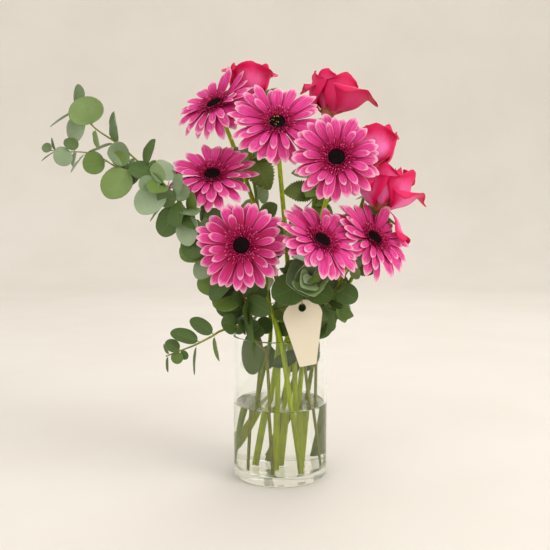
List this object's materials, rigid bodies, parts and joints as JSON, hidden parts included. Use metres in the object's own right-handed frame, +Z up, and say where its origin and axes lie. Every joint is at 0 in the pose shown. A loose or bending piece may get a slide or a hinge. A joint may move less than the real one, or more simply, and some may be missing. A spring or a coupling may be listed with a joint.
{
  "type": "flower arrangement in a vase",
  "caption": "Clear glass cylinder vase of water holding a bunch of pink gerberas, red roses and round-leaved eucalyptus, with a blank card tag on a twine tie.",
  "frame": {"origin": "centre of the vase's flat underside, on the surface it stands on", "axes": "+Z up along the vase's axis, +X to the right as pictured, and the pictured side faces -Y"},
  "size_m": [0.4654, 0.201, 0.529],
  "materials": {
    "glass": "clear and polished",
    "water": "clear, slightly green",
    "gerbera_pink": "soft petal, pink with pale edges and streaks",
    "gerbera_dark": "matte, close-set florets",
    "gerbera_green": "fine-haired smooth stem",
    "rose_red": "velvety petal",
    "rose_green": "satin leaf and stem",
    "eucalyptus_green": "waxy grey-green leaf",
    "tag_cream": "uncoated card",
    "twine_brown": "thin jute twine"
  },
  "bodies": {
    "root": {"vase": "glass", "water": "water", "tag": "tag_cream", "twine_tie": "twine_brown", "gerbera_1_stem": "gerbera_green", "gerbera_1_bloom": "gerbera_pink", "gerbera_1_disc": "gerbera_dark", "gerbera_2_stem": "gerbera_green", "gerbera_2_bloom": "gerbera_pink", "gerbera_2_disc": "gerbera_dark", "gerbera_3_stem": "gerbera_green", "gerbera_3_bloom": "gerbera_pink", "gerbera_3_disc": "gerbera_dark", "gerbera_4_stem": "gerbera_green", "gerbera_4_bloom": "gerbera_pink", "gerbera_4_disc": "gerbera_dark", "gerbera_5_stem": "gerbera_green", "gerbera_5_bloom": "gerbera_pink", "gerbera_5_disc": "gerbera_dark", "gerbera_6_stem": "gerbera_green", "gerbera_6_bloom": "gerbera_pink", "gerbera_6_disc": "gerbera_dark", "gerbera_7_stem": "gerbera_green", "gerbera_7_bloom": "gerbera_pink", "gerbera_7_disc": "gerbera_dark", "rose_1_stem": "rose_green", "rose_1_head": "rose_red", "rose_2_stem": "rose_green", "rose_2_head": "rose_red", "rose_3_stem": "rose_green", "rose_3_head": "rose_red", "rose_4_stem": "rose_green", "rose_4_head": "rose_red", "eucalyptus_spray": "eucalyptus_green", "eucalyptus_low_sprig": "eucalyptus_green", "eucalyptus_front_sprig": "eucalyptus_green", "eucalyptus_right_sprig": "eucalyptus_green"}
  },
  "joints": []
}
